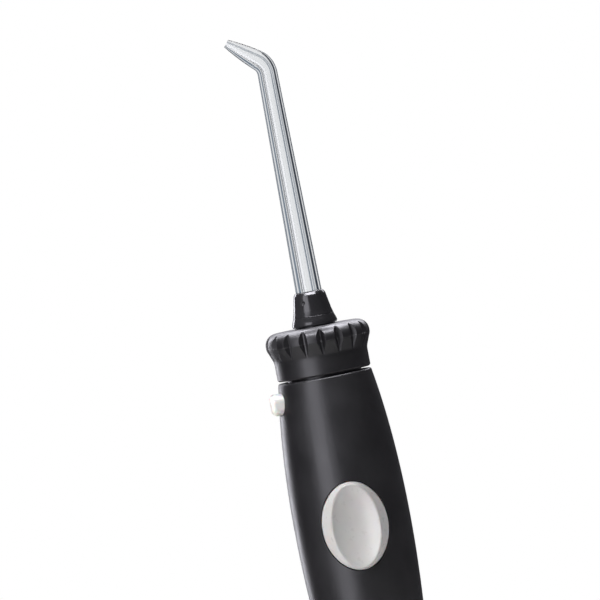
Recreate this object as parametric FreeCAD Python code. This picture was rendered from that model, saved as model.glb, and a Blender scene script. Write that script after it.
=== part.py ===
"""Hose-fed handpiece of a countertop water flosser, one STEP file per physical piece.

Millimetres. +Z runs along the handle towards the jet tip, and the origin is the centre of the hose
entry at the bottom of the tail cap. The pause button faces -Y. The eject button and the nozzle face -X.
"""

import FreeCAD, Part  # noqa: E401  FreeCAD has to be imported before Part
import math
import os

from FreeCAD import Matrix, Vector

AXIS_X, AXIS_Y, AXIS_Z = Vector(1, 0, 0), Vector(0, 1, 0), Vector(0, 0, 1)

# Handle body
WALL = 1.9
BODY_OUTLINE = [(10.0, 12.7), (11.7, 30), (13.9, 52), (15.55, 73), (16.1, 90), (15.95, 103), (15.3, 115),
                (14.2, 126), (13.0, 134.1)]  # (radius, height) from the tail to the seam under the knob
BODY_TOP_Z = BODY_OUTLINE[-1][1]
BODY_TOP_R = BODY_OUTLINE[-1][0]
BODY_FOOT_Z = BODY_OUTLINE[0][1]
SEAM_WIDTH, SEAM_DEPTH = 0.16, 0.25  # fine groove where the front and rear shells meet

# Tail
TAIL_R = 10.0
TAIL_SPIGOT_R, TAIL_SPIGOT_BORE = 8.6, 6.9
TAIL_SPIGOT_FOOT_Z = 3.2
HOSE_ENTRY_R, HOSE_ENTRY_LENGTH = 3.75, 8.0
CHANNEL_R = 1.25  # water passage in every moulded fitting

# Silicone tubes inside the handle, and the barbs that they push on to
TUBE_R, TUBE_BORE = 3.2, 2.05
BARB_ROOT, BARB_CREST, BARB_PITCH = 1.7, 2.0, 2.0
HOSE_BARB_ROOT, HOSE_BARB_CREST = 2.0, 2.45
INLET_FLANGE_Z, INLET_FLANGE_THICK, INLET_FLANGE_R = 26.0, 2.5, 8.6

# Pause button and valve, both along Y at this height
VALVE_Z = 93.0
BUTTON_HALF_W, BUTTON_HALF_H = 9.05, 12.1
BUTTON_GAP = 0.25
BUTTON_FACE_Y = -17.3
BUTTON_FACE_HALF_W, BUTTON_FACE_HALF_H = 6.75, 11.5
BUTTON_SKIRT_Y = -9.7
BUTTON_DISH_DEPTH, BUTTON_DISH_RIM = 1.6, 0.42
SLEEVE_END_Y = -11.0
VALVE_FRONT_Y, VALVE_REAR_Y = -6.5, 8.6
VALVE_R, VALVE_BORE = 5.4, 3.15
SPOOL_R, SPOOL_WAIST, SPOOL_NOSE = 3.1, 1.0, 1.6
PORT_R = 1.0
VALVE_SCREW_X = 8.0

# Head: bearing for the knob, eject chamber and stem seal
NECK_R, NECK_TOP_Z = 10.3, 143.7
BARREL_R = 10.9
CHAMBER_R, CHAMBER_Z0, CHAMBER_Z1 = 9.3, 125.7, 132.7
BEARING_BORE = 7.0
HUB_R, HUB_FOOT_Z = 6.95, 131.0
SEAL_FLANGE_R, SEAL_FLANGE_Z0, SEAL_FLANGE_Z1 = 12.4, 121.0, 123.5
SEAL_FOOT_Z, SEAL_BOSS_FOOT_Z, SEAL_BORE = 119.0, 113.0, 3.5
HEAD_SCREWS = [(2.6, 7.46), (2.6, -7.46)]

# Eject button along X at this height
EJECT_Z = 128.6
EJECT_FACE_X, EJECT_HALF_W, EJECT_HALF_H = -16.1, 5.6, 2.9
EJECT_CORNER_R, EJECT_EDGE_R = 2.3, 1.3
EJECT_FLANGE_HALF_W = 6.5
EJECT_HOLE_GAP = 0.2
EJECT_PAD_X = -10.9  # flat inside face of the shell behind the button
PAD_FOOT_Z = SEAL_FLANGE_Z1 + 1.9
PAD_HALF_W = 7.4
EAR_X0, EAR_X1 = -6.6, -5.8
EJECT_SPRING_Y = 4.7
CLIP_WIRE_R = 0.5
TOE_X, TOE_Y = -6.1, 1.75  # ends of the retainer clip's legs

# Knob
KNOB_TOP_Z, KNOB_FOOT_Z = 148.0, 134.7
KNOB_MAX_R, KNOB_SKIRT_R, KNOB_BORE = 14.5, 13.0, 11.2
KNOB_ROOF_Z = 144.6
KNOB_HOLE_R = 5.2
FLUTES, FLUTE_FLOOR_R = 18, 13.1  # V-shaped flutes with a narrow flat floor at this radius
FLUTE_FLOOR_HALF_W, FLUTE_HALF_W = 0.2, 1.25
FIRST_FLUTE_ANGLE = -89.5

# Tip
STEM_R, STEM_FOOT_Z, STEM_GROOVE_R = 3.4, 118.0, 2.4
HEX_FLATS, HEX_CLEARANCE = 8.4, 0.2
HEX_Z0, HEX_Z1 = 138.0, 144.7
COLLAR_FOOT_Z, COLLAR_TOP_Z = 148.1, 157.7
TIP_R, TIP_SOCKET_Z = 3.6, 149.5
TIP_BEND_Z, TIP_BEND_R, TIP_BEND_ANGLE = 218.8, 5.0, 51.5
TIP_NOZZLE_LENGTH, TIP_NOZZLE_BULGE = 9.95, 0.2  # the nozzle's side bows out by this much
TIP_R_AT_BEND, TIP_R_AT_END = 2.75, 1.15
TIP_BORE_AT_ROOT, TIP_BORE_AT_BEND, TIP_BORE_AT_END = 1.45, 1.15, 0.45


# ---------------------------------------------------------------- helpers

def cylinder(radius, z0, z1, x=0.0, y=0.0):
    return Part.makeCylinder(radius, z1 - z0, Vector(x, y, z0))


def rod_y(radius, y0, y1, x=0.0, z=VALVE_Z):
    return Part.makeCylinder(radius, y1 - y0, Vector(x, y0, z), AXIS_Y)


def ring(outer, inner, z0, z1):
    return cylinder(outer, z0, z1).cut(cylinder(inner, z0, z1))


def block(x0, x1, y0, y1, z0, z1):
    return Part.makeBox(x1 - x0, y1 - y0, z1 - z0, Vector(x0, y0, z0))


def lathe(outline):
    """Solid of revolution about Z from a closed outline of (radius, height) corners."""
    points = [Vector(r, 0, z) for r, z in outline]
    return Part.Face(Part.makePolygon(points + points[:1])).revolve(Vector(), AXIS_Z, 360)


def lathe_edges(edges):
    """Solid of revolution about Z from edges that close an outline in the XZ plane."""
    return Part.Face(Part.Wire(edges)).revolve(Vector(), AXIS_Z, 360)


def line(*corners):
    """Edges between (radius, height) corners in the XZ plane."""
    points = [Vector(r, 0, z) for r, z in corners]
    return [Part.LineSegment(a, b).toShape() for a, b in zip(points, points[1:])]


def arc(start, middle, end):
    return Part.Arc(*[Vector(r, 0, z) for r, z in (start, middle, end)]).toShape()


def ellipse_wire(half_w, half_h, y, z=VALVE_Z):
    curve = Part.Ellipse(Vector(0, y, z + half_h), Vector(half_w, y, z), Vector(0, y, z))
    return Part.Wire(curve.toShape())


def ellipse_prism(half_w, half_h, y0, y1):
    return Part.Face(ellipse_wire(half_w, half_h, y0)).extrude(Vector(0, y1 - y0, 0))


def hexagon(flats, z0, z1):
    corner = flats / 2 / math.cos(math.pi / 6)
    points = [Vector(corner * math.cos(k * math.pi / 3), corner * math.sin(k * math.pi / 3), z0)
              for k in range(7)]
    return Part.Face(Part.makePolygon(points)).extrude(Vector(0, 0, z1 - z0))


def torus(major, minor, centre, axis=AXIS_Z):
    return Part.makeTorus(major, minor, centre, axis)


def rounded_path(points, radius):
    """Straight runs through the points, joined by tangent arcs."""
    edges, last = [], points[0]
    for before, corner, after in zip(points, points[1:], points[2:]):
        back, on = (before - corner).normalize(), (after - corner).normalize()
        half = back.getAngle(on) / 2
        reach = radius / math.tan(half)
        start, end = corner + back * reach, corner + on * reach
        middle = corner + (back + on).normalize() * (radius / math.sin(half) - radius)
        edges += [Part.LineSegment(last, start).toShape(), Part.Arc(start, middle, end).toShape()]
        last = end
    edges.append(Part.LineSegment(last, points[-1]).toShape())
    return Part.Wire(edges)


def wire_along(path, radius, start, direction):
    """Round wire swept along a path that begins at start in that direction."""
    section = Part.Wire(Part.makeCircle(radius, start, direction))
    return Part.Wire(path).makePipeShell([section], True, False)


def coil_spring(mean_radius, wire_radius, length, turns):
    """Compression spring about Z from z = 0, with flat-ground looking end rings."""
    height = length - 2 * wire_radius
    helix = Part.makeHelix(height / turns, height, mean_radius)
    section = Part.Wire(Part.makeCircle(wire_radius, Vector(mean_radius, 0, 0), AXIS_Y))
    coil = Part.Wire(helix).makePipeShell([section], True, True)
    coil.translate(Vector(0, 0, wire_radius))
    return coil


def barbs(root, crest, z_start, length, direction):
    """Ridged spigot with its water channel, from z_start along +Z (direction 1) or -Z (direction -1)."""
    outline = [(CHANNEL_R, 0), (root, 0)]
    count = int(length / BARB_PITCH)
    for n in range(count):
        foot = length - (count - n) * BARB_PITCH
        outline += [(root, foot + 0.2), (crest, foot + 0.2), (root, foot + BARB_PITCH)]
    outline += [(CHANNEL_R, length)]
    return lathe([(r, z_start + direction * z) for r, z in outline])


def fillet_where(shape, radius, chosen):
    """Rounds the edges for which chosen(edge) is true."""
    return shape.makeFillet(radius, [e for e in shape.Edges if chosen(e)])


def screw(head_radius, head_height, shank_radius, shank_length):
    """Pan-head screw about Z: head above z = 0, shank below, with a cross recess."""
    head = fillet_where(cylinder(head_radius, 0, head_height), 0.4,
                        lambda e: abs(e.BoundBox.ZMin - head_height) < 1e-6 and len(e.Vertexes) == 1)
    point = Part.makeCone(0.2, shank_radius, 1.0, Vector(0, 0, -shank_length))
    shape = head.fuse([cylinder(shank_radius, 1.0 - shank_length, 0), point])
    reach, half_slot, depth = head_radius * 0.65, 0.2, head_height * 0.6
    for slot in (block(-reach, reach, -half_slot, half_slot, head_height - depth, head_height + 1),
                 block(-half_slot, half_slot, -reach, reach, head_height - depth, head_height + 1)):
        shape = shape.cut(slot)
    return shape


# ---------------------------------------------------------------- handle shells

def body_solid(inset):
    """The handle's outside, moved in by inset, as a closed solid."""
    curve = Part.BSplineCurve()
    curve.interpolate([Vector(r - inset, 0, z) for r, z in BODY_OUTLINE])
    foot, top = (BODY_OUTLINE[0][0] - inset, BODY_FOOT_Z), (BODY_TOP_R - inset, BODY_TOP_Z)
    return lathe_edges([curve.toShape()] + line(top, (0, BODY_TOP_Z), (0, BODY_FOOT_Z), foot))


def body_radius(z):
    """Outside radius of the handle at height z."""
    curve = Part.BSplineCurve()
    curve.interpolate([Vector(r, 0, z) for r, z in BODY_OUTLINE])
    cross = Part.LineSegment(Vector(0, 0, z), Vector(40, 0, z))
    return curve.toShape().distToShape(cross.toShape())[1][0][0].x


def eject_hole(grow):
    """Round-cornered prism along X that the eject button slides in, grown on all sides."""
    half_w, half_h = EJECT_HALF_W + grow, EJECT_HALF_H + grow
    prism = block(-20, -8, -half_w, half_w, EJECT_Z - half_h, EJECT_Z + half_h)
    return fillet_where(prism, EJECT_CORNER_R + grow, lambda e: abs(e.tangentAt(e.FirstParameter).x) > 0.99)


def hollow_shell():
    """Both shells as one piece, before they are cut apart."""
    outside = fillet_where(body_solid(0), 0.45, lambda e: abs(e.BoundBox.ZMin - BODY_TOP_Z) < 1e-6
                           and abs(e.BoundBox.XMax - BODY_TOP_R) < 1e-6 and len(e.Vertexes) == 1)
    shell = outside.fuse(cylinder(TAIL_SPIGOT_R, TAIL_SPIGOT_FOOT_Z, BODY_FOOT_Z))
    mouth = cylinder(BODY_TOP_R - WALL, BODY_TOP_Z - 0.1, BODY_TOP_Z + 1)
    shell = shell.cut(body_solid(WALL).fuse(mouth))
    shell = shell.cut(cylinder(TAIL_SPIGOT_BORE, TAIL_SPIGOT_FOOT_Z - 1, BODY_FOOT_Z + 0.1))
    inlet_top = INLET_FLANGE_Z + INLET_FLANGE_THICK
    low_bore, high_bore, thick, gap = 6.5, 11.1, 2.0, 0.1
    ribs = [(low_bore, INLET_FLANGE_Z - gap - thick, INLET_FLANGE_Z - gap),
            (low_bore, inlet_top + gap, inlet_top + gap + thick),
            (high_bore, SEAL_FLANGE_Z0 - gap - thick, SEAL_FLANGE_Z0 - gap),
            (high_bore, SEAL_FLANGE_Z1 + gap, PAD_FOOT_Z)]
    for bore, z0, z1 in ribs:
        shell = shell.fuse(ring(body_radius((z0 + z1) / 2) - WALL / 2, bore, z0, z1))
    pad = block(-20, EJECT_PAD_X, -PAD_HALF_W, PAD_HALF_W, PAD_FOOT_Z, CHAMBER_Z1 - 0.2)
    pad = pad.common(body_solid(0.4))
    reach = EJECT_FLANGE_HALF_W + 0.3
    # room for the button's stop flange
    pocket = block(EJECT_PAD_X, -8, -reach, reach, EJECT_Z - 2.8, EJECT_Z + 3.0)
    shell = shell.fuse(pad).cut([pocket, eject_hole(EJECT_HOLE_GAP)])
    hole_w, hole_h, sleeve_wall = BUTTON_HALF_W + BUTTON_GAP, BUTTON_HALF_H + BUTTON_GAP, 1.4
    sleeve = ellipse_prism(hole_w + sleeve_wall, hole_h + sleeve_wall, -20, SLEEVE_END_Y)
    shell = shell.fuse(sleeve.common(body_solid(0.4)))
    shell = shell.cut(ellipse_prism(hole_w, hole_h, -20, SLEEVE_END_Y + 1))
    bosses = [rod_y(2.4, 8.05, 14.0, side * VALVE_SCREW_X) for side in (-1, 1)]
    shell = shell.fuse([boss.common(body_solid(0.6)) for boss in bosses])
    for side in (-1, 1):
        shell = shell.cut(rod_y(1.05, 8.0, 12.6, side * VALVE_SCREW_X))
    return shell


def shells():
    """Front shell (-Y) and rear shell (+Y), which meet on the plane Y = 0."""
    whole = hollow_shell()
    inside = body_solid(SEAM_DEPTH)
    half = SEAM_WIDTH / 2
    front = whole.common(block(-20, 20, -20, 0, -1, 200))
    rear = whole.common(block(-20, 20, 0, 20, -1, 200))
    front = front.cut(block(-20, 20, -half, 1, BODY_FOOT_Z + 0.01, 200).cut(inside))
    rear = rear.cut(block(-20, 20, -1, half, BODY_FOOT_Z + 0.01, 200).cut(inside))
    return front, rear


# ---------------------------------------------------------------- tail and water path

def tail_cap():
    """Cup that holds the shells' lower ends, with the hose entry through its floor."""
    foot, floor, boss_r = 1.0, 3.0, 5.6
    edges = line((HOSE_ENTRY_R, 0), (TAIL_R - foot, 0))
    edges.append(arc((TAIL_R - foot, 0), (TAIL_R - foot + foot * math.sin(math.pi / 4),
                                          foot - foot * math.cos(math.pi / 4)), (TAIL_R, foot)))
    top = BODY_FOOT_Z - 0.1
    edges += line((TAIL_R, foot), (TAIL_R, top), (TAIL_SPIGOT_R + 0.05, top), (TAIL_SPIGOT_R + 0.05, floor),
                  (boss_r, floor), (boss_r, HOSE_ENTRY_LENGTH), (HOSE_ENTRY_R, HOSE_ENTRY_LENGTH),
                  (HOSE_ENTRY_R, 0))
    return lathe_edges(edges)


def inlet_fitting():
    """Flanged double barb: the supply hose pushes on from below and the lower tube from above."""
    z0, z1 = INLET_FLANGE_Z, INLET_FLANGE_Z + INLET_FLANGE_THICK
    flange = ring(INLET_FLANGE_R, CHANNEL_R, z0, z1)
    hub = ring(4.2, CHANNEL_R, z0 - 2.0, z0)
    hose_side = barbs(HOSE_BARB_ROOT, HOSE_BARB_CREST, z0 - 2.0, 12.0, -1)
    tube_side = barbs(BARB_ROOT, BARB_CREST, z1, 8.0, 1)
    return flange.fuse([hub, hose_side, tube_side])


def tube(z0, z1):
    return ring(TUBE_R, TUBE_BORE, z0, z1)


def tube_ends():
    """Heights of the ends of the lower and the upper tube."""
    lower = (INLET_FLANGE_Z + INLET_FLANGE_THICK + 0.1, VALVE_Z - VALVE_R - 1.0)
    upper = (VALVE_Z + VALVE_R + 1.0, SEAL_BOSS_FOOT_Z - 0.1)
    return lower, upper


def tube_clamps():
    """Four crimped bands, one near each tube end."""
    width, inset, band = 2.6, 1.6, 0.55
    clamps = []
    for low, high in tube_ends():
        for z in (low + inset, high - inset - width):
            band_ring = ring(TUBE_R + 0.02 + band, TUBE_R + 0.02, z, z + width)
            ear = block(TUBE_R + 0.3, TUBE_R + 2.0, -0.8, 0.8, z, z + width)
            clamps.append(band_ring.fuse(ear).cut(cylinder(TUBE_R + 0.02, z - 1, z + width + 1)))
    return Part.makeCompound(clamps)


# ---------------------------------------------------------------- pause valve

def valve_body():
    """Block with the spool bore along Y, the water channel along Z and two screw ears."""
    barrel = rod_y(VALVE_R, VALVE_FRONT_Y, VALVE_REAR_Y)
    plate = block(-11, 11, 6.0, 8.0, VALVE_Z - 3.6, VALVE_Z + 3.6)
    stub_r, stub_reach, barb_length = 3.0, VALVE_R + 0.9, 6.0
    stubs = [cylinder(stub_r, VALVE_Z + 4, VALVE_Z + stub_reach),
             cylinder(stub_r, VALVE_Z - stub_reach, VALVE_Z - 4)]
    shape = barrel.fuse([plate] + stubs)
    shape = shape.fuse([barbs(BARB_ROOT, BARB_CREST, VALVE_Z + stub_reach, barb_length, 1),
                        barbs(BARB_ROOT, BARB_CREST, VALVE_Z - stub_reach, barb_length, -1)])
    shape = shape.cut(cylinder(PORT_R, VALVE_Z - 12.5, VALVE_Z + 12.5))
    shape = shape.cut(rod_y(VALVE_BORE, VALVE_FRONT_Y - 1, 6.8))
    shape = shape.cut(rod_y(0.6, 6.0, VALVE_REAR_Y + 1))
    for side in (-1, 1):
        shape = shape.cut(rod_y(1.2, 5, 9, side * VALVE_SCREW_X))
    return shape


def valve_spool():
    """Spool whose waist lets water past at rest and whose land shuts the port when pressed in."""
    waist, groove_half, groove_r = PORT_R + 0.1, 0.8, 1.66
    front_seal_y, rear_seal_y = -4.9, 2.75
    spool = rod_y(SPOOL_R, -6.4, 4.0).fuse(rod_y(SPOOL_NOSE, -12.6, -6.4))
    cuts = [(SPOOL_WAIST, -waist, waist), (groove_r, front_seal_y - groove_half, front_seal_y + groove_half),
            (groove_r, rear_seal_y - groove_half, rear_seal_y + groove_half)]
    for bottom, y0, y1 in cuts:
        spool = spool.cut(rod_y(SPOOL_R + 1, y0, y1).cut(rod_y(bottom, y0, y1)))
    spool = spool.cut(Part.makeCylinder(0.62, 8, Vector(-4, -9.6, VALVE_Z), AXIS_X))
    seals = Part.makeCompound([torus(2.4, 0.72, Vector(0, y, VALVE_Z), AXIS_Y)
                               for y in (front_seal_y, rear_seal_y)])
    return spool, seals


def spool_pin():
    """Dowel across the button's post and the spool's nose."""
    return Part.makeCylinder(0.6, 5.6, Vector(-2.8, -9.6, VALVE_Z), AXIS_X)


def pause_button():
    """Oval cap with sloping sides, a dished face, stop ears and the post that drives the spool."""
    slope_y = -13.3  # where the sloping sides meet the straight skirt at the widest point
    face = ellipse_wire(BUTTON_FACE_HALF_W, BUTTON_FACE_HALF_H, BUTTON_FACE_Y)
    foot = ellipse_wire(BUTTON_HALF_W + 0.02, BUTTON_HALF_H + 1.4, slope_y)
    cap = Part.makeLoft([face, foot], True, True)
    cap = cap.fuse(ellipse_prism(BUTTON_HALF_W + 1, BUTTON_HALF_H + 2, slope_y, BUTTON_SKIRT_Y))
    cap = cap.common(ellipse_prism(BUTTON_HALF_W, BUTTON_HALF_H, BUTTON_FACE_Y - 1, BUTTON_SKIRT_Y))
    cap = cap.cut(dish())
    cap = cap.cut(ellipse_prism(7.4, 10.5, -14.5, BUTTON_SKIRT_Y + 1))
    ear_y0 = SLEEVE_END_Y + 0.1
    for side in (-1, 1):
        ear = block(-4.5, 4.5, ear_y0, BUTTON_SKIRT_Y, VALVE_Z + min(side * 11.0, side * 14.2),
                    VALVE_Z + max(side * 11.0, side * 14.2))
        cap = cap.fuse(ear)
    post = rod_y(2.9, -14.6, -6.45).cut(rod_y(SPOOL_NOSE + 0.05, -12.8, -6))
    cap = cap.fuse(post)
    return cap.cut(Part.makeCylinder(0.62, 8, Vector(-4, -9.6, VALVE_Z), AXIS_X))


def dish():
    """Ellipsoid that hollows the button's face, leaving a thin rim."""
    depth_axis = 6.0
    above = depth_axis - BUTTON_DISH_DEPTH
    shrink = math.sqrt(1 - (above / depth_axis) ** 2)
    scale = Matrix()
    scale.scale((BUTTON_FACE_HALF_W - BUTTON_DISH_RIM) / shrink, depth_axis,
                (BUTTON_FACE_HALF_H - BUTTON_DISH_RIM) / shrink)
    solid = Part.makeSphere(1).transformGeometry(scale)
    solid.translate(Vector(0, BUTTON_FACE_Y - above, VALVE_Z))
    return solid


def pause_spring():
    """Return spring between the button's roof and the valve's front face."""
    length = VALVE_FRONT_Y + 14.45
    spring = coil_spring(4.1, 0.32, length, 5)
    spring.rotate(Vector(), AXIS_X, -90)
    spring.translate(Vector(0, -14.45, VALVE_Z))
    return spring


def valve_screws():
    screws = []
    for side in (-1, 1):
        one = screw(1.9, 1.2, 1.0, 6.4)
        one.rotate(Vector(), AXIS_X, 90)
        one.translate(Vector(side * VALVE_SCREW_X, 5.98, VALVE_Z))
        screws.append(one)
    return Part.makeCompound(screws)


# ---------------------------------------------------------------- head

def bearing_head():
    """Fixed neck that the knob turns on, with the eject chamber open on its -X side."""
    groove_z0, groove_z1, groove_r = 137.5, 139.5, 9.25
    chamfer = 0.4
    shape = lathe([(BEARING_BORE, CHAMBER_Z1), (BEARING_BORE, NECK_TOP_Z), (NECK_R - chamfer, NECK_TOP_Z),
                   (NECK_R, NECK_TOP_Z - chamfer), (NECK_R, groove_z1), (groove_r, groove_z1),
                   (groove_r, groove_z0), (NECK_R, groove_z0), (NECK_R, BODY_TOP_Z - 0.1),
                   (BARREL_R, BODY_TOP_Z - 0.1),
                   (BARREL_R, CHAMBER_Z0), (CHAMBER_R, CHAMBER_Z0), (CHAMBER_R, CHAMBER_Z1)])
    window = EJECT_FLANGE_HALF_W + 0.4
    shape = shape.cut(block(-20, -6, -window, window, CHAMBER_Z0 - 1, CHAMBER_Z1 - 0.1))
    keep = cylinder(CHAMBER_R + 0.4, CHAMBER_Z0, CHAMBER_Z1)
    ears = [block(EAR_X0, EAR_X1, min(side * 3.3, side * 8.6), max(side * 3.3, side * 8.6),
                  CHAMBER_Z0 + 0.5, CHAMBER_Z1 - 1.1) for side in (-1, 1)]
    bosses = [cylinder(1.7, CHAMBER_Z0, CHAMBER_Z1, x, y) for x, y in HEAD_SCREWS]
    # lets the clip's toes spread
    slot = block(EAR_X0 - 1, EAR_X1 + 1, -5.0, 5.0, EJECT_Z - 0.7, EJECT_Z + 0.7)
    inner = ears[0].fuse([ears[1]]).cut(slot).fuse(bosses).common(keep)
    inner = inner.cut(cylinder(8.1, HUB_FOOT_Z - 0.3, CHAMBER_Z1))
    shape = shape.fuse(inner)
    for x, y in HEAD_SCREWS:
        shape = shape.cut(cylinder(0.9, CHAMBER_Z0 - 1, HUB_FOOT_Z - 1, x, y))
    return shape


def seal_block():
    """Floor of the eject chamber, with the seal gland, the clip's post and the upper tube's barb."""
    gland_z0, gland_z1, gland_r, chamber_foot = 122.6, 124.6, 5.05, 117.5
    top = CHAMBER_Z0 - 0.02
    shape = lathe([(SEAL_BORE, top), (BARREL_R, top), (BARREL_R, SEAL_FLANGE_Z1),
                   (SEAL_FLANGE_R, SEAL_FLANGE_Z1), (SEAL_FLANGE_R, SEAL_FLANGE_Z0),
                   (BARREL_R, SEAL_FLANGE_Z0), (BARREL_R, SEAL_FOOT_Z),
                   (5.2, SEAL_FOOT_Z), (5.2, SEAL_BOSS_FOOT_Z), (CHANNEL_R, SEAL_BOSS_FOOT_Z),
                   (CHANNEL_R, chamber_foot - 1.5), (SEAL_BORE, chamber_foot), (SEAL_BORE, gland_z0),
                   (gland_r, gland_z0), (gland_r, gland_z1), (SEAL_BORE, gland_z1)])
    post = cylinder(1.5, top, 130.4, 5.9, 0)
    shape = shape.fuse([barbs(BARB_ROOT, BARB_CREST, SEAL_BOSS_FOOT_Z, 6.0, -1), post])
    for x, y in HEAD_SCREWS:
        shape = shape.cut(cylinder(1.15, SEAL_FOOT_Z - 1, CHAMBER_Z0 + 1, x, y))
    seal = torus(4.22, 0.8, Vector(0, 0, (gland_z0 + gland_z1) / 2))
    return shape, seal


def head_screws():
    screws = []
    for x, y in HEAD_SCREWS:
        one = screw(1.8, 1.2, 0.85, 10.6)
        one.rotate(Vector(), AXIS_X, 180)
        one.translate(Vector(x, y, SEAL_FOOT_Z - 0.02))
        screws.append(one)
    return Part.makeCompound(screws)


def friction_ring():
    """O-ring in the neck's groove that drags on the knob's bore, so that the knob stays put."""
    return torus(10.2, 0.93, Vector(0, 0, 138.5))


def retainer_clip():
    """Hairpin of spring wire in the stem's groove. The eject wedge spreads its turned-in toes."""
    leg_y, loop_x, bend_r = 2.95, 5.0, 1.0
    toe = [Vector(TOE_X, TOE_Y, EJECT_Z), Vector(TOE_X + leg_y - TOE_Y, leg_y, EJECT_Z)]
    leg = rounded_path(toe + [Vector(loop_x, leg_y, EJECT_Z)], bend_r)
    loop = Part.Arc(Vector(loop_x, leg_y, EJECT_Z), Vector(loop_x + leg_y, 0, EJECT_Z),
                    Vector(loop_x, -leg_y, EJECT_Z)).toShape()
    other = [Vector(p.x, -p.y, p.z) for p in toe]
    other = rounded_path([Vector(loop_x, -leg_y, EJECT_Z)] + other[::-1], bend_r)
    return wire_along(leg.Edges + [loop] + other.Edges, CLIP_WIRE_R, toe[0], toe[1] - toe[0])


def eject_button():
    """White push pad outside, with the stop flange, wedge and spring pegs inside."""
    pad = block(EJECT_FACE_X, EJECT_PAD_X, -EJECT_HALF_W, EJECT_HALF_W,
                EJECT_Z - EJECT_HALF_H, EJECT_Z + EJECT_HALF_H)
    pad = fillet_where(pad, EJECT_CORNER_R, lambda e: abs(e.tangentAt(e.FirstParameter).x) > 0.99)
    pad = fillet_where(pad, EJECT_EDGE_R, lambda e: abs(e.BoundBox.XMax - EJECT_FACE_X) < 1e-6)
    flange_x = EJECT_PAD_X + 1.0
    flange = block(EJECT_PAD_X + 0.1, flange_x, -EJECT_FLANGE_HALF_W, EJECT_FLANGE_HALF_W,
                   EJECT_Z - 2.4, EJECT_Z + 2.6)
    joint = block(EJECT_PAD_X - 0.5, flange_x, -4.4, 4.4, EJECT_Z - 2.3, EJECT_Z + 2.3)
    tip_y, root_y, thick = 0.6, 3.1, 1.6
    # flanks at 45 degrees, clear of the toes
    tip_x = TOE_X + TOE_Y - tip_y - math.sqrt(2) * (CLIP_WIRE_R + 0.05)
    shoulder_x = tip_x - (root_y - tip_y)
    half = [(flange_x - 0.1, root_y), (shoulder_x, root_y), (tip_x, tip_y)]
    points = [Vector(x, y, EJECT_Z - thick / 2) for x, y in half + [(x, -y) for x, y in half[::-1]]]
    wedge = Part.Face(Part.makePolygon(points + points[:1])).extrude(Vector(0, 0, thick))
    pegs = [Part.makeCylinder(0.75, 1.0, Vector(flange_x - 0.1, side * EJECT_SPRING_Y, EJECT_Z), AXIS_X)
            for side in (-1, 1)]
    return pad.fuse([flange, joint, wedge] + pegs)


def eject_springs():
    length = EAR_X0 - (EJECT_PAD_X + 1.0)
    springs = []
    for side in (-1, 1):
        one = coil_spring(1.15, 0.16, length, 4)
        one.rotate(Vector(), AXIS_Y, 90)
        one.translate(Vector(EJECT_PAD_X + 1.0, side * EJECT_SPRING_Y, EJECT_Z))
        springs.append(one)
    return Part.makeCompound(springs)


# ---------------------------------------------------------------- knob and rotor

LUG_R, LUG_CENTRE_R, LUG_TOP_Z = 1.2, 7.3, 146.0


def around(count, radius, first=0.0):
    """count points on a circle, as (x, y)."""
    angles = [first + k * 2 * math.pi / count for k in range(count)]
    return [(radius * math.cos(angle), radius * math.sin(angle)) for angle in angles]


def flute_cutters():
    """Upright V-shaped prisms that cut the flutes, which run out to a point where the belly draws in."""
    outer_r = KNOB_MAX_R + 0.5
    spread = (FLUTE_HALF_W - FLUTE_FLOOR_HALF_W) / (KNOB_MAX_R - FLUTE_FLOOR_R)
    outer_half = FLUTE_FLOOR_HALF_W + spread * (outer_r - FLUTE_FLOOR_R)
    corners = [(FLUTE_FLOOR_R, -FLUTE_FLOOR_HALF_W), (FLUTE_FLOOR_R, FLUTE_FLOOR_HALF_W),
               (outer_r, outer_half), (outer_r, -outer_half)]
    points = [Vector(x, y, KNOB_FOOT_Z) for x, y in corners]
    height = KNOB_TOP_Z + 1 - KNOB_FOOT_Z
    prism = Part.Face(Part.makePolygon(points + points[:1])).extrude(Vector(0, 0, height))
    cutters = []
    for k in range(FLUTES):
        cutter = prism.copy()
        cutter.rotate(Vector(), AXIS_Z, FIRST_FLUTE_ANGLE + k * 360 / FLUTES)
        cutters.append(cutter)
    return cutters


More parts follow.
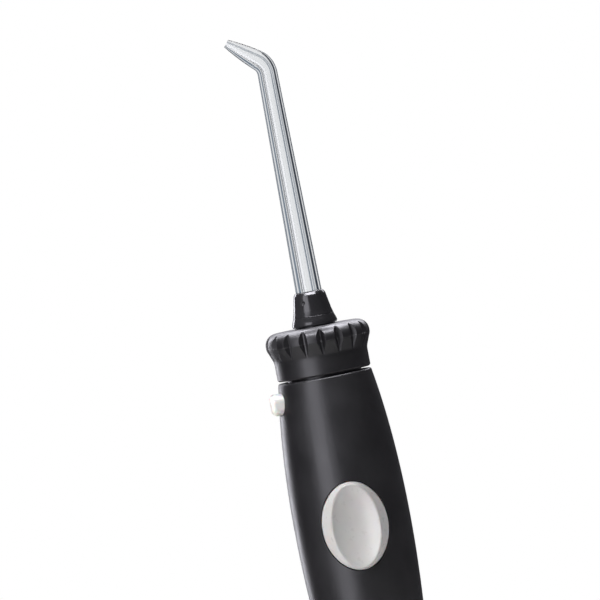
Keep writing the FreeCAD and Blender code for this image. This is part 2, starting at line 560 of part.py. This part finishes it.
def rotation_knob():
    """Fluted cap whose shoulder bulges over a slimmer skirt. Sockets in its roof take the rotor's lugs."""
    shoulder = 3.3
    belly = Part.BSplineCurve()
    belly.interpolate([Vector(KNOB_MAX_R, 0, KNOB_TOP_Z - shoulder - 0.5), Vector(14.12, 0, 142.9),
                       Vector(13.5, 0, 141.3), Vector(KNOB_SKIRT_R, 0, 139.2)],
                      InitialTangent=Vector(0, 0, -1), FinalTangent=Vector(0, 0, -1))
    diagonal = shoulder * math.sin(math.pi / 4)
    edges = line((KNOB_HOLE_R, KNOB_TOP_Z), (KNOB_MAX_R - shoulder, KNOB_TOP_Z))
    edges.append(arc((KNOB_MAX_R - shoulder, KNOB_TOP_Z),
                     (KNOB_MAX_R - shoulder + diagonal, KNOB_TOP_Z - shoulder + diagonal),
                     (KNOB_MAX_R, KNOB_TOP_Z - shoulder)))
    edges += line((KNOB_MAX_R, KNOB_TOP_Z - shoulder), (KNOB_MAX_R, KNOB_TOP_Z - shoulder - 0.5))
    edges.append(belly.toShape())
    edges += line((KNOB_SKIRT_R, 139.2), (KNOB_SKIRT_R, KNOB_FOOT_Z + 0.4), (KNOB_SKIRT_R - 0.4, KNOB_FOOT_Z),
                  (KNOB_BORE, KNOB_FOOT_Z), (KNOB_BORE, KNOB_ROOF_Z), (KNOB_HOLE_R, KNOB_ROOF_Z),
                  (KNOB_HOLE_R, KNOB_TOP_Z))
    knob = lathe_edges(edges).cut(flute_cutters())
    for x, y in around(4, LUG_CENTRE_R):
        knob = knob.cut(cylinder(LUG_R + 0.03, KNOB_ROOF_Z - 1, LUG_TOP_Z + 0.05, x, y))
    return knob


def rotor_core():
    """Hub in the bearing, with the hexagon socket that turns the tip and four lugs into the knob."""
    ring_z0, ring_z1, ring_r = 131.85, 132.65, 6.2
    hub = lathe([(3.6, HUB_FOOT_Z), (HUB_R, HUB_FOOT_Z), (HUB_R, ring_z0), (ring_r, ring_z0),
                 (ring_r, ring_z1), (HUB_R, ring_z1), (HUB_R, NECK_TOP_Z + 0.15), (9.2, NECK_TOP_Z + 0.15),
                 (9.2, KNOB_ROOF_Z),
                 (3.6, KNOB_ROOF_Z)])
    lugs = [cylinder(LUG_R, KNOB_ROOF_Z - 0.2, LUG_TOP_Z, x, y) for x, y in around(4, LUG_CENTRE_R)]
    return hub.fuse(lugs).cut(hexagon(HEX_FLATS + HEX_CLEARANCE, HEX_Z0 - 0.2, KNOB_ROOF_Z + 1))


def retaining_ring():
    """Open ring in the hub's groove that keeps the knob from lifting off."""
    whole = ring(7.8, 6.22, 131.88, 132.62)
    return whole.cut(block(0, 10, -2.2, 2.2, 131, 134))


# ---------------------------------------------------------------- jet tip

def tip_base():
    """Black base of the tip: cone above the knob, hexagon in the rotor, grooved stem down to the seal."""
    groove = (EJECT_Z - 0.9, EJECT_Z + 0.9)
    lip_r, seat_r, seat_top = 5.6, 5.2, 151.0
    stem = lathe([(CHANNEL_R, STEM_FOOT_Z), (STEM_R - 0.5, STEM_FOOT_Z), (STEM_R, STEM_FOOT_Z + 0.6),
                  (STEM_R, groove[0]), (STEM_GROOVE_R, groove[0]), (STEM_GROOVE_R, groove[1]),
                  (STEM_R, groove[1]), (STEM_R, HEX_Z1), (CHANNEL_R, HEX_Z1)])
    key = hexagon(HEX_FLATS, HEX_Z0, HEX_Z1).cut(cylinder(CHANNEL_R, HEX_Z0 - 1, HEX_Z1 + 1))
    collar = lathe([(CHANNEL_R, HEX_Z1), (5.0, HEX_Z1), (5.0, COLLAR_FOOT_Z), (lip_r, COLLAR_FOOT_Z),
                    (lip_r, COLLAR_FOOT_Z + 0.25), (seat_r, COLLAR_FOOT_Z + 0.25), (seat_r, seat_top),
                    (5.66, seat_top), (5.3, seat_top + 1.3), (4.45, COLLAR_TOP_Z - 0.85),
                    (4.0, COLLAR_TOP_Z - 0.1), (3.85, COLLAR_TOP_Z),
                    (TIP_R + 0.02, COLLAR_TOP_Z), (TIP_R + 0.02, TIP_SOCKET_Z), (CHANNEL_R, TIP_SOCKET_Z)])
    dimple = Part.makeSphere(0.5, Vector(-2.35, -4.25, 154.9))
    return stem.fuse([key, collar]).cut(dimple)


def id_ring():
    """Marker ring that snaps round the foot of the collar and carries on its flare."""
    foot, top, outer, bore = COLLAR_FOOT_Z + 0.27, 150.98, 6.3, 5.22
    shoulder = Part.BSplineCurve()
    shoulder.interpolate([Vector(outer, 0, foot + 0.4), Vector(6.2, 0, 149.4), Vector(5.9, 0, 150.25),
                          Vector(5.64, 0, top)])
    edges = line((5.64, top), (bore, top), (bore, foot), (outer - 0.2, foot), (outer, foot + 0.4))
    return lathe_edges(edges + [shoulder.toShape()])


def tip_core(root_r, bend_r, end_r, z0, bulge, overrun):
    """Solid tube core: straight taper, elbow towards -X, and a tapering nozzle that runs on by overrun."""
    straight = Part.makeCone(root_r, bend_r, TIP_BEND_Z - z0, Vector(0, 0, z0))
    disc = Part.Face(Part.Wire(Part.makeCircle(bend_r, Vector(0, 0, TIP_BEND_Z), AXIS_Z)))
    elbow = disc.revolve(Vector(-TIP_BEND_R, 0, TIP_BEND_Z), AXIS_Y, -TIP_BEND_ANGLE)
    length = TIP_NOZZLE_LENGTH + overrun
    side = arc((bend_r, 0), ((bend_r + end_r) / 2 + bulge, length / 2), (end_r, length))
    nozzle = lathe_edges([side] + line((end_r, length), (0, length), (0, 0), (bend_r, 0)))
    nozzle.rotate(Vector(), AXIS_Y, -TIP_BEND_ANGLE)
    angle = math.radians(TIP_BEND_ANGLE)
    nozzle.translate(Vector(TIP_BEND_R * (math.cos(angle) - 1), 0, TIP_BEND_Z + TIP_BEND_R * math.sin(angle)))
    return straight.fuse([elbow, nozzle])


def jet_tip():
    """Clear tube, pressed into the collar. Its bore narrows in the nozzle."""
    tube_wall = tip_core(TIP_R, TIP_R_AT_BEND, TIP_R_AT_END, COLLAR_TOP_Z, TIP_NOZZLE_BULGE, 0)
    root = cylinder(TIP_R, TIP_SOCKET_Z + 0.02, COLLAR_TOP_Z)
    water = tip_core(TIP_BORE_AT_ROOT, TIP_BORE_AT_BEND, TIP_BORE_AT_END, TIP_SOCKET_Z - 1, 0.05, 0.02)
    return root.fuse(tube_wall).cut(water)


# ---------------------------------------------------------------- export

def pieces():
    front, rear = shells()
    spool, spool_seals = valve_spool()
    block_under, stem_seal = seal_block()
    lower, upper = tube_ends()
    return {
        "front_shell": front, "rear_shell": rear, "tail_cap": tail_cap(), "inlet_fitting": inlet_fitting(),
        "lower_tube": tube(*lower), "upper_tube": tube(*upper), "tube_clamps": tube_clamps(),
        "valve_body": valve_body(), "valve_screws": valve_screws(), "valve_spool": spool,
        "spool_seals": spool_seals, "spool_pin": spool_pin(), "pause_button": pause_button(),
        "pause_spring": pause_spring(), "bearing_head": bearing_head(), "seal_block": block_under,
        "stem_seal": stem_seal, "head_screws": head_screws(), "friction_ring": friction_ring(),
        "retainer_clip": retainer_clip(), "eject_button": eject_button(), "eject_springs": eject_springs(),
        "rotation_knob": rotation_knob(), "rotor_core": rotor_core(), "retaining_ring": retaining_ring(),
        "tip_base": tip_base(), "id_ring": id_ring(), "jet_tip": jet_tip(),
    }


os.makedirs("parts", exist_ok=True)
for name, shape in pieces().items():
    solids = shape.Solids
    volume = sum(solid.Volume for solid in solids)
    print(f"{name:16s} solids {len(solids)} valid {shape.isValid()} volume {volume:9.2f}")
    shape.exportStep(f"parts/{name}.step")
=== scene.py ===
import math

import bpy
from mathutils import Matrix, Vector


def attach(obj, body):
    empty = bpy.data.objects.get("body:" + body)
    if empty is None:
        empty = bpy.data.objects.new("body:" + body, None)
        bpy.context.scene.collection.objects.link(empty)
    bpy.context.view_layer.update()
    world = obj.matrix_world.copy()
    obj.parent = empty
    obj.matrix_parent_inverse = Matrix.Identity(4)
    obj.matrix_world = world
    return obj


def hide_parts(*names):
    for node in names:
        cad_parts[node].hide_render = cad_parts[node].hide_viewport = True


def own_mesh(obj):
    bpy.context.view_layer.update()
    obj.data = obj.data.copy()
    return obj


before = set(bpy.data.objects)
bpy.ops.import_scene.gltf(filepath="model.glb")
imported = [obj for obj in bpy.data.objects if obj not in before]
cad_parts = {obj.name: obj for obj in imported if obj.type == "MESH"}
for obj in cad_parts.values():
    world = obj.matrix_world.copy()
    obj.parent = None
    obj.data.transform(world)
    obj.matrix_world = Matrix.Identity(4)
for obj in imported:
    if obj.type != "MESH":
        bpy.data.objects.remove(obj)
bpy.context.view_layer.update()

MM = 0.001


# ---------------------------------------------------------------- node helpers

def link_or_set(tree, socket, value):
    """Links value into the socket if it is a node's output, and otherwise sets it as a constant."""
    if isinstance(value, bpy.types.NodeSocket):
        tree.links.new(value, socket)
    else:
        socket.default_value = value


def math_node(tree, operation, *values):
    made = tree.nodes.new("ShaderNodeMath")
    made.operation = operation
    for socket, value in zip(made.inputs, values):
        link_or_set(tree, socket, value)
    return made.outputs[0]


def mix_colors(tree, factor, first, second):
    made = tree.nodes.new("ShaderNodeMix")
    made.data_type = "RGBA"
    for name, value in (("Factor", factor), ("A", first), ("B", second)):
        link_or_set(tree, made.inputs[name], value)
    return made.outputs["Result"]


def map_range(tree, value, from_span, to_span=(0.0, 1.0), smooth=False):
    made = tree.nodes.new("ShaderNodeMapRange")
    if smooth:
        made.interpolation_type = "SMOOTHSTEP"
    spans = {"From Min": from_span[0], "From Max": from_span[1], "To Min": to_span[0], "To Max": to_span[1]}
    for name, limit in spans.items():
        made.inputs[name].default_value = limit
    tree.links.new(value, made.inputs["Value"])
    return made.outputs["Result"]


# ---------------------------------------------------------------- camera

# The handle leans left in the picture, because the camera is rolled. Lengths are in metres.
VIEW_AZIMUTH = -2.8
VIEW_ELEVATION = 1.1
VIEW_ROLL = -10.7
VIEW_DISTANCE = 1.3
PICTURE_HEIGHT = 0.1651  # what the picture takes in at the handle
SENSOR = 36.0
NEAREST, FURTHEST = 0.01, 20.0
AIM = Vector((-0.0028, 0.0, 0.15587))


def make_camera():
    azimuth, elevation = math.radians(VIEW_AZIMUTH), math.radians(VIEW_ELEVATION)
    back = Vector((math.sin(azimuth) * math.cos(elevation),
                   -math.cos(azimuth) * math.cos(elevation),
                   math.sin(elevation)))
    right = Vector((0, 0, 1)).cross(back).normalized()
    upright = Matrix((right, back.cross(right), back)).transposed()
    roll = Matrix.Rotation(math.radians(VIEW_ROLL), 3, "Z")
    data = bpy.data.cameras.new("camera")
    data.sensor_width = SENSOR
    data.lens = SENSOR * VIEW_DISTANCE / PICTURE_HEIGHT
    data.clip_start = NEAREST
    data.clip_end = FURTHEST
    camera = bpy.data.objects.new("camera", data)
    bpy.context.scene.collection.objects.link(camera)
    camera.matrix_world = Matrix.Translation(AIM + back * VIEW_DISTANCE) @ (upright @ roll).to_4x4()
    bpy.context.scene.camera = camera


# ---------------------------------------------------------------- world

WHITE = (1, 1, 1, 1)
FRONT_LIGHT, BACK_LIGHT = 0.12, 0.06   # what surfaces mirror towards -Y and towards +Y
ROOM_TINT = (0.98, 0.96, 1.06)
PANEL_PALE = (0.82, 0.83, 0.84, 1)
GAP_FROM, GAP_TO = 24.0, 40.0          # dark strips this many degrees either side of each axis
GAP_CORE, GAP_FADE = 0.4, 1.5          # a strip fades between these shares of half its width
GAP_COLOR = (0.02, 0.03, 0.045, 1)     # of the strips on the -X side
SOFT_GAP_COLOR = (0.16, 0.20, 0.25, 1)  # of the strips on the +X side
SIDE_BLEND = 0.3                       # half the width, in X, over which one strip color turns into the other


def room_color(tree, direction):
    """What surfaces mirror: a dim room, lighter at the front than at the back."""
    light = map_range(tree, direction.outputs["Y"], (-1.0, 1.0), (FRONT_LIGHT, BACK_LIGHT))
    room = tree.nodes.new("ShaderNodeVectorMath")
    room.operation = "SCALE"
    room.inputs[0].default_value = ROOM_TINT
    tree.links.new(light, room.inputs["Scale"])
    return room.outputs[0]


def panel_color(tree, direction):
    """What shows through clear plastic: pale panels with dark strips between them."""
    turn = math_node(tree, "ARCTAN2", direction.outputs["Y"], direction.outputs["X"])
    from_axis = math_node(tree, "PINGPONG", turn, math.radians(45))
    middle = math.radians(GAP_FROM + GAP_TO) / 2
    half = math.radians(GAP_TO - GAP_FROM) / 2
    off_middle = math_node(tree, "ABSOLUTE", math_node(tree, "SUBTRACT", from_axis, middle))
    panel = map_range(tree, off_middle, (half * GAP_CORE, half * GAP_FADE), smooth=True)
    side = map_range(tree, direction.outputs["X"], (-SIDE_BLEND, SIDE_BLEND))
    gap = mix_colors(tree, side, GAP_COLOR, SOFT_GAP_COLOR)
    return mix_colors(tree, panel, gap, PANEL_PALE)


def make_world():
    """White to the camera, a dim room in reflections, and pale panels through clear plastic."""
    world = bpy.data.worlds.new("studio")
    world.use_nodes = True
    bpy.context.scene.world = world
    tree = world.node_tree
    tree.nodes.clear()
    path = tree.nodes.new("ShaderNodeLightPath")
    direction = tree.nodes.new("ShaderNodeSeparateXYZ")
    tree.links.new(tree.nodes.new("ShaderNodeTexCoord").outputs["Generated"], direction.inputs[0])
    room = room_color(tree, direction)
    panels = panel_color(tree, direction)
    around = mix_colors(tree, path.outputs["Is Transmission Ray"], room, panels)
    seen = mix_colors(tree, path.outputs["Is Camera Ray"], around, WHITE)
    background = tree.nodes.new("ShaderNodeBackground")
    output = tree.nodes.new("ShaderNodeOutputWorld")
    tree.links.new(seen, background.inputs["Color"])
    tree.links.new(background.outputs[0], output.inputs["Surface"])


# ---------------------------------------------------------------- lights

LIGHT_TINTS = {"gloss": (0.98, 0.97, 1.05), "color": (1.0, 0.985, 0.975)}
HANDLE_MIDDLE = (0, 0, 0.13)
OVERHEAD_X, OVERHEAD_Y = 0.04, -0.02  # the overhead softbox looks straight down


def make_softbox(name, kind, place, size, power, aim=HANDLE_MIDDLE, spared=None):
    """Softbox that gives surfaces only their color or only their gloss, by its kind.

    It isn't seen through clear plastic, and it doesn't light the pieces in the collection spared.
    """
    data = bpy.data.lights.new(name, "AREA")
    data.shape = "RECTANGLE"
    data.size, data.size_y = size
    data.energy = power
    data.color = LIGHT_TINTS[kind]
    light = bpy.data.objects.new(name, data)
    light.visible_transmission = False
    light.visible_diffuse = kind == "color"
    light.visible_glossy = kind == "gloss"
    light.location = place
    light.rotation_mode = "QUATERNION"
    light.rotation_quaternion = (Vector(place) - Vector(aim)).to_track_quat("Z", "Y")
    light.light_linking.receiver_collection = spared
    bpy.context.scene.collection.objects.link(light)


def make_lights():
    clear = bpy.data.collections.new("clear pieces")
    clear.objects.link(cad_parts["jet_tip"])
    clear.collection_objects[0].light_linking.link_state = "EXCLUDE"
    make_softbox("key", "gloss", (-0.476, -0.643, 0.18), (0.49, 0.80), 4.5)
    make_softbox("wash", "color", (-0.66, -0.34, 0.40), (0.40, 0.40), 5.4)
    make_softbox("fill", "color", (0.60, -0.50, 0.30), (0.50, 0.50), 1.1)
    make_softbox("sky", "color", (0.0, 0.0, 0.95), (0.70, 0.70), 6.6)
    make_softbox("overhead", "gloss", (OVERHEAD_X, OVERHEAD_Y, 0.95), (0.90, 1.10), 72.0,
                 aim=(OVERHEAD_X, OVERHEAD_Y, 0.13), spared=clear)
    make_softbox("top", "gloss", (0.0, 0.55, 0.62), (0.90, 0.50), 4.0, spared=clear)
    make_softbox("rim_left", "gloss", (-0.42, 0.68, 0.25), (0.14, 0.60), 2.2, spared=clear)
    make_softbox("rim_right", "gloss", (0.42, 0.62, 0.55), (0.30, 0.30), 1.2, spared=clear)


# ---------------------------------------------------------------- floor

FLOOR_RADIUS, FLOOR_CORNERS = 0.34, 96
FLOOR_Z = -0.0002            # just under the part's foot
FLOOR_FADE_FROM = 0.08       # the floor starts to fade out this far from its middle
FLOOR_GREY = (0.88, 0.88, 0.88, 1)


def floor_material():
    material = bpy.data.materials.new("floor")
    material.use_nodes = True
    tree = material.node_tree
    shader = tree.nodes["Principled BSDF"]
    shader.inputs["Base Color"].default_value = FLOOR_GREY
    shader.inputs["Roughness"].default_value = 0.9
    length = tree.nodes.new("ShaderNodeVectorMath")
    length.operation = "LENGTH"
    tree.links.new(tree.nodes.new("ShaderNodeTexCoord").outputs["Object"], length.inputs[0])
    fade = map_range(tree, length.outputs["Value"], (FLOOR_FADE_FROM, FLOOR_RADIUS), (1.0, 0.0), smooth=True)
    tree.links.new(fade, shader.inputs["Alpha"])
    return material


def make_floor():
    """Pale round floor whose edge fades out, so that no rim shows."""
    turns = [2 * math.pi * k / FLOOR_CORNERS for k in range(FLOOR_CORNERS)]
    ring = [(FLOOR_RADIUS * math.cos(turn), FLOOR_RADIUS * math.sin(turn), FLOOR_Z) for turn in turns]
    mesh = bpy.data.meshes.new("floor")
    mesh.from_pydata(ring, [], [list(range(FLOOR_CORNERS))])
    floor = bpy.data.objects.new("floor", mesh)
    bpy.context.scene.collection.objects.link(floor)
    floor.data.materials.append(floor_material())


# ---------------------------------------------------------------- material helpers

NOISE_SPAN = (0.3, 0.7)    # where nearly all of a noise's values lie
NOISE_ROUGHNESS = 0.55
BEVEL_SAMPLES = 6


class Look:
    """A node material with a Principled shader and short calls for the detail on it."""

    def __init__(self, name, color, roughness, **settings):
        self.material = bpy.data.materials.new(name)
        self.material.use_nodes = True
        self.tree = self.material.node_tree
        self.shader = self.tree.nodes["Principled BSDF"]
        self.shader.inputs["Base Color"].default_value = (*color, 1)
        self.shader.inputs["Roughness"].default_value = roughness
        for key, value in settings.items():
            self.shader.inputs[key.replace("_", " ")].default_value = value
        self.normal = None  # what the next relief is added to
        self.place = self.tree.nodes.new("ShaderNodeTexCoord").outputs["Object"]

    def drive(self, name, value):
        """Links a node's output into one of the shader's inputs."""
        self.tree.links.new(value, self.shader.inputs[name])

    def soften_edges(self, radius):
        """Rounds the shading over sharp edges, by radius millimetres. It shows with the next relief."""
        bevel = self.tree.nodes.new("ShaderNodeBevel")
        bevel.samples = BEVEL_SAMPLES
        bevel.inputs["Radius"].default_value = radius * MM
        self.normal = bevel.outputs["Normal"]

    def noise(self, grain, detail=3.0, stretch=(1, 1, 1)):
        """Noise whose features are about grain millimetres across."""
        scale = self.tree.nodes.new("ShaderNodeVectorMath")
        scale.operation = "MULTIPLY"
        scale.inputs[1].default_value = [share / (grain * MM) for share in stretch]
        self.tree.links.new(self.place, scale.inputs[0])
        noise = self.tree.nodes.new("ShaderNodeTexNoise")
        noise.inputs["Scale"].default_value = 1.0
        noise.inputs["Detail"].default_value = detail
        noise.inputs["Roughness"].default_value = NOISE_ROUGHNESS
        self.tree.links.new(scale.outputs[0], noise.inputs["Vector"])
        return noise.outputs["Fac"]

    def vary_roughness(self, noise, low, high):
        self.drive("Roughness", map_range(self.tree, noise, NOISE_SPAN, (low, high)))

    def vary_color(self, noise, first, second):
        share = map_range(self.tree, noise, NOISE_SPAN)
        self.drive("Base Color", mix_colors(self.tree, share, (*first, 1), (*second, 1)))

    def ring_line(self, level, width, depth):
        """Fine raised line round the piece at this level, all in millimetres."""
        parts = self.tree.nodes.new("ShaderNodeSeparateXYZ")
        self.tree.links.new(self.place, parts.inputs[0])
        rise = math_node(self.tree, "SUBTRACT", parts.outputs["Z"], level * MM)
        distance = math_node(self.tree, "ABSOLUTE", rise)
        self.bump(map_range(self.tree, distance, (0.0, width * MM / 2), (1.0, 0.0)), depth)

    def bump(self, value, depth):
        """Adds relief of depth millimetres on top of what is there."""
        bump = self.tree.nodes.new("ShaderNodeBump")
        bump.inputs["Strength"].default_value = 1.0
        bump.inputs["Distance"].default_value = depth * MM
        self.tree.links.new(value, bump.inputs["Height"])
        if self.normal is not None:
            self.tree.links.new(self.normal, bump.inputs["Normal"])
        self.normal = bump.outputs["Normal"]
        self.drive("Normal", self.normal)


# ---------------------------------------------------------------- materials

KNOB_LINE_LEVEL, KNOB_LINE_WIDTH, KNOB_LINE_DEPTH = 143.85, 0.24, 0.05  # moulding line, in millimetres
# The second colour is painted shade, a dark tint laid on the clear plastic's grazing edges.
CLEAR_COLOR, CLEAR_EDGE_SHADE_COLOR = (0.98, 0.985, 0.99, 1), (0.16, 0.20, 0.25, 1)
CLEAR_EDGE_SHADE_SPAN = (0.52, 0.8)  # facing values over which the painted edge shade comes in on clear plastic


def satin_black(name):
    """Soft-touch moulded plastic: fine spark-eroded grain, faint mottling in the sheen."""
    look = Look(name, (0.0100, 0.0097, 0.0112), 0.38)
    look.soften_edges(0.2)
    grain = look.noise(0.16, 2.0)
    mottle = look.noise(9.0, 4.0)
    look.vary_color(mottle, (0.0092, 0.0089, 0.0103), (0.0108, 0.0105, 0.0121))
    look.vary_roughness(mottle, 0.34, 0.42)
    look.bump(grain, 0.005)
    return look


def shell_black():
    return satin_black("satin black").material


def knob_black():
    """The shells' plastic, with the faint moulding line round the flutes."""
    look = satin_black("satin black knob")
    look.ring_line(KNOB_LINE_LEVEL, KNOB_LINE_WIDTH, KNOB_LINE_DEPTH)
    return look.material


def gloss_black():
    """Polished moulding with faint flow lines along the collar."""
    look = Look("gloss black", (0.024, 0.0236, 0.0265), 0.16)
    look.soften_edges(0.25)
    flow = look.noise(1.6, 3.0, (1, 1, 0.25))
    look.vary_roughness(flow, 0.12, 0.2)
    look.bump(flow, 0.012)
    return look.material


def pearl_grey():
    """Satin light-grey moulding with a slight milky depth."""
    look = Look("pearl grey", (0.62, 0.612, 0.60), 0.3, Subsurface_Weight=0.15, Subsurface_Scale=0.6 * MM)
    look.soften_edges(0.4)
    cloud = look.noise(5.0, 4.0)
    look.vary_color(cloud, (0.605, 0.597, 0.583), (0.635, 0.627, 0.617))
    look.vary_roughness(look.noise(1.5, 3.0), 0.26, 0.34)
    look.bump(look.noise(0.25, 2.0), 0.004)
    return look.material


def nub_white():
    """White moulding with a low sheen."""
    look = Look("nub white", (0.92, 0.915, 0.88), 0.3, Subsurface_Weight=0.2, Subsurface_Scale=0.8 * MM,
                Specular_IOR_Level=0.25)
    look.soften_edges(0.3)
    look.vary_roughness(look.noise(1.2, 3.0), 0.24, 0.34)
    look.bump(look.noise(0.3, 2.0), 0.004)
    return look.material


def clear_plastic():
    """Water-clear moulding with painted shade at its very edges, where the light bends away."""
    look = Look("clear plastic", (1, 1, 1), 0.015, Transmission_Weight=1.0, IOR=1.49)
    weight = look.tree.nodes.new("ShaderNodeLayerWeight")
    weight.inputs["Blend"].default_value = 0.5
    # Painted shade: the colour turns dark blue-grey towards the grazing edges.
    painted_edge_shade = map_range(look.tree, weight.outputs["Facing"], CLEAR_EDGE_SHADE_SPAN)
    look.drive("Base Color", mix_colors(look.tree, painted_edge_shade, CLEAR_COLOR, CLEAR_EDGE_SHADE_COLOR))
    look.bump(look.noise(4.0, 2.0, (1, 1, 0.2)), 0.002)
    return look.material


def acetal():
    look = Look("acetal", (0.74, 0.73, 0.70), 0.38, Subsurface_Weight=0.2, Subsurface_Scale=0.8 * MM)
    look.vary_roughness(look.noise(2.0, 3.0), 0.32, 0.45)
    look.bump(look.noise(0.3, 2.0), 0.006)
    return look.material


def nylon():
    look = Look("filled nylon", (0.42, 0.44, 0.46), 0.5)
    look.vary_color(look.noise(1.0, 4.0), (0.39, 0.41, 0.43), (0.45, 0.47, 0.49))
    look.vary_roughness(look.noise(0.6, 4.0, (1, 1, 0.3)), 0.42, 0.6)
    look.bump(look.noise(0.25, 3.0), 0.012)
    return look.material


def silicone():
    look = Look("silicone tube", (0.66, 0.68, 0.69), 0.34, Subsurface_Weight=0.4, Subsurface_Scale=1.2 * MM)
    look.vary_roughness(look.noise(3.0, 3.0, (1, 1, 0.2)), 0.28, 0.42)
    look.bump(look.noise(1.5, 2.0, (1, 1, 0.2)), 0.01)
    return look.material


def seal_rubber():
    look = Look("seal rubber", (0.012, 0.012, 0.013), 0.48)
    look.vary_roughness(look.noise(0.8, 3.0), 0.42, 0.58)
    look.bump(look.noise(0.2, 2.0), 0.006)
    return look.material


def steel(name, roughness, grain):
    look = Look(name, (0.56, 0.56, 0.57), roughness, Metallic=1.0)
    scratch = look.noise(grain, 4.0, (1, 1, 4))
    look.vary_roughness(scratch, roughness - 0.06, roughness + 0.08)
    look.bump(scratch, 0.004)
    return look.material


def dress_nodes():
    """One finished material for each CAD piece."""
    looks = {
        shell_black(): ["front_shell", "rear_shell", "tail_cap", "bearing_head"],
        knob_black(): ["rotation_knob"],
        gloss_black(): ["tip_base", "id_ring"],
        pearl_grey(): ["pause_button"],
        nub_white(): ["eject_button"],
        clear_plastic(): ["jet_tip"],
        acetal(): ["inlet_fitting", "valve_spool", "rotor_core"],
        nylon(): ["valve_body", "seal_block"],
        seal_rubber(): ["spool_seals", "stem_seal", "friction_ring"],
        silicone(): ["lower_tube", "upper_tube"],
        steel("spring wire", 0.24, 0.3): ["pause_spring", "eject_springs", "retainer_clip", "retaining_ring"],
        steel("screw steel", 0.3, 0.4): ["tube_clamps", "valve_screws", "head_screws", "spool_pin"],
    }
    for material, names in looks.items():
        for name in names:
            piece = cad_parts[name]
            piece.data.materials.clear()
            piece.data.materials.append(material)


# ---------------------------------------------------------------- springs

def working_spring(node):
    """Stands for a CAD spring: a copy of its mesh, attached to the handle, while the CAD piece is hidden."""
    piece = bpy.data.objects.new("working_" + node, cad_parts[node].data.copy())
    bpy.context.scene.collection.objects.link(piece)
    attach(piece, "handle")
    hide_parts(node)
    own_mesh(piece)


# ---------------------------------------------------------------- build

make_camera()
make_world()
make_lights()
make_floor()
dress_nodes()
working_spring("pause_spring")
working_spring("eject_springs")
bpy.context.scene.view_settings.view_transform = "Standard"
